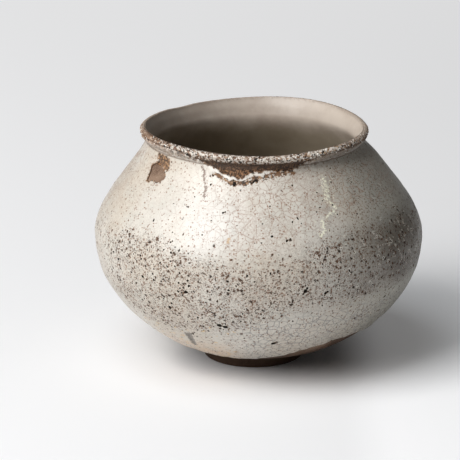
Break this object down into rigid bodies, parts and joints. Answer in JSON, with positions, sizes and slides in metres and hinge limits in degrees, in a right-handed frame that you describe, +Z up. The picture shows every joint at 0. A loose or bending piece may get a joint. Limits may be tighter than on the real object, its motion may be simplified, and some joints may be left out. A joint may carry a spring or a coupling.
{
  "type": "footed stoneware jar",
  "caption": "Squat round-bellied footed ceramic jar with a short collar, rolled lip, open wide mouth and a thick crackled pale glaze over brown clay.",
  "frame": {"origin": "on the ground, at the middle of the jar's own box; the foot and the mouth are centred about 2.5 mm towards -X of it, because the belly swells towards +X", "axes": "+Z up through the mouth; the jar stands on its foot ring; -Y is the side with the drawn-back glaze under the lip, and +X is the fuller side of the belly"},
  "size_m": [0.1854, 0.1802, 0.1355],
  "materials": {
    "bare_clay": "matte",
    "lip_clay": "satin",
    "pale_glaze": "semi-gloss",
    "inner_coat": "satin"
  },
  "bodies": {
    "root": {"foot_ring": "bare_clay", "lower_bowl": "bare_clay", "upper_bowl": "bare_clay", "collar": "lip_clay", "outer_glaze": "pale_glaze", "inner_glaze": "inner_coat"}
  },
  "joints": []
}
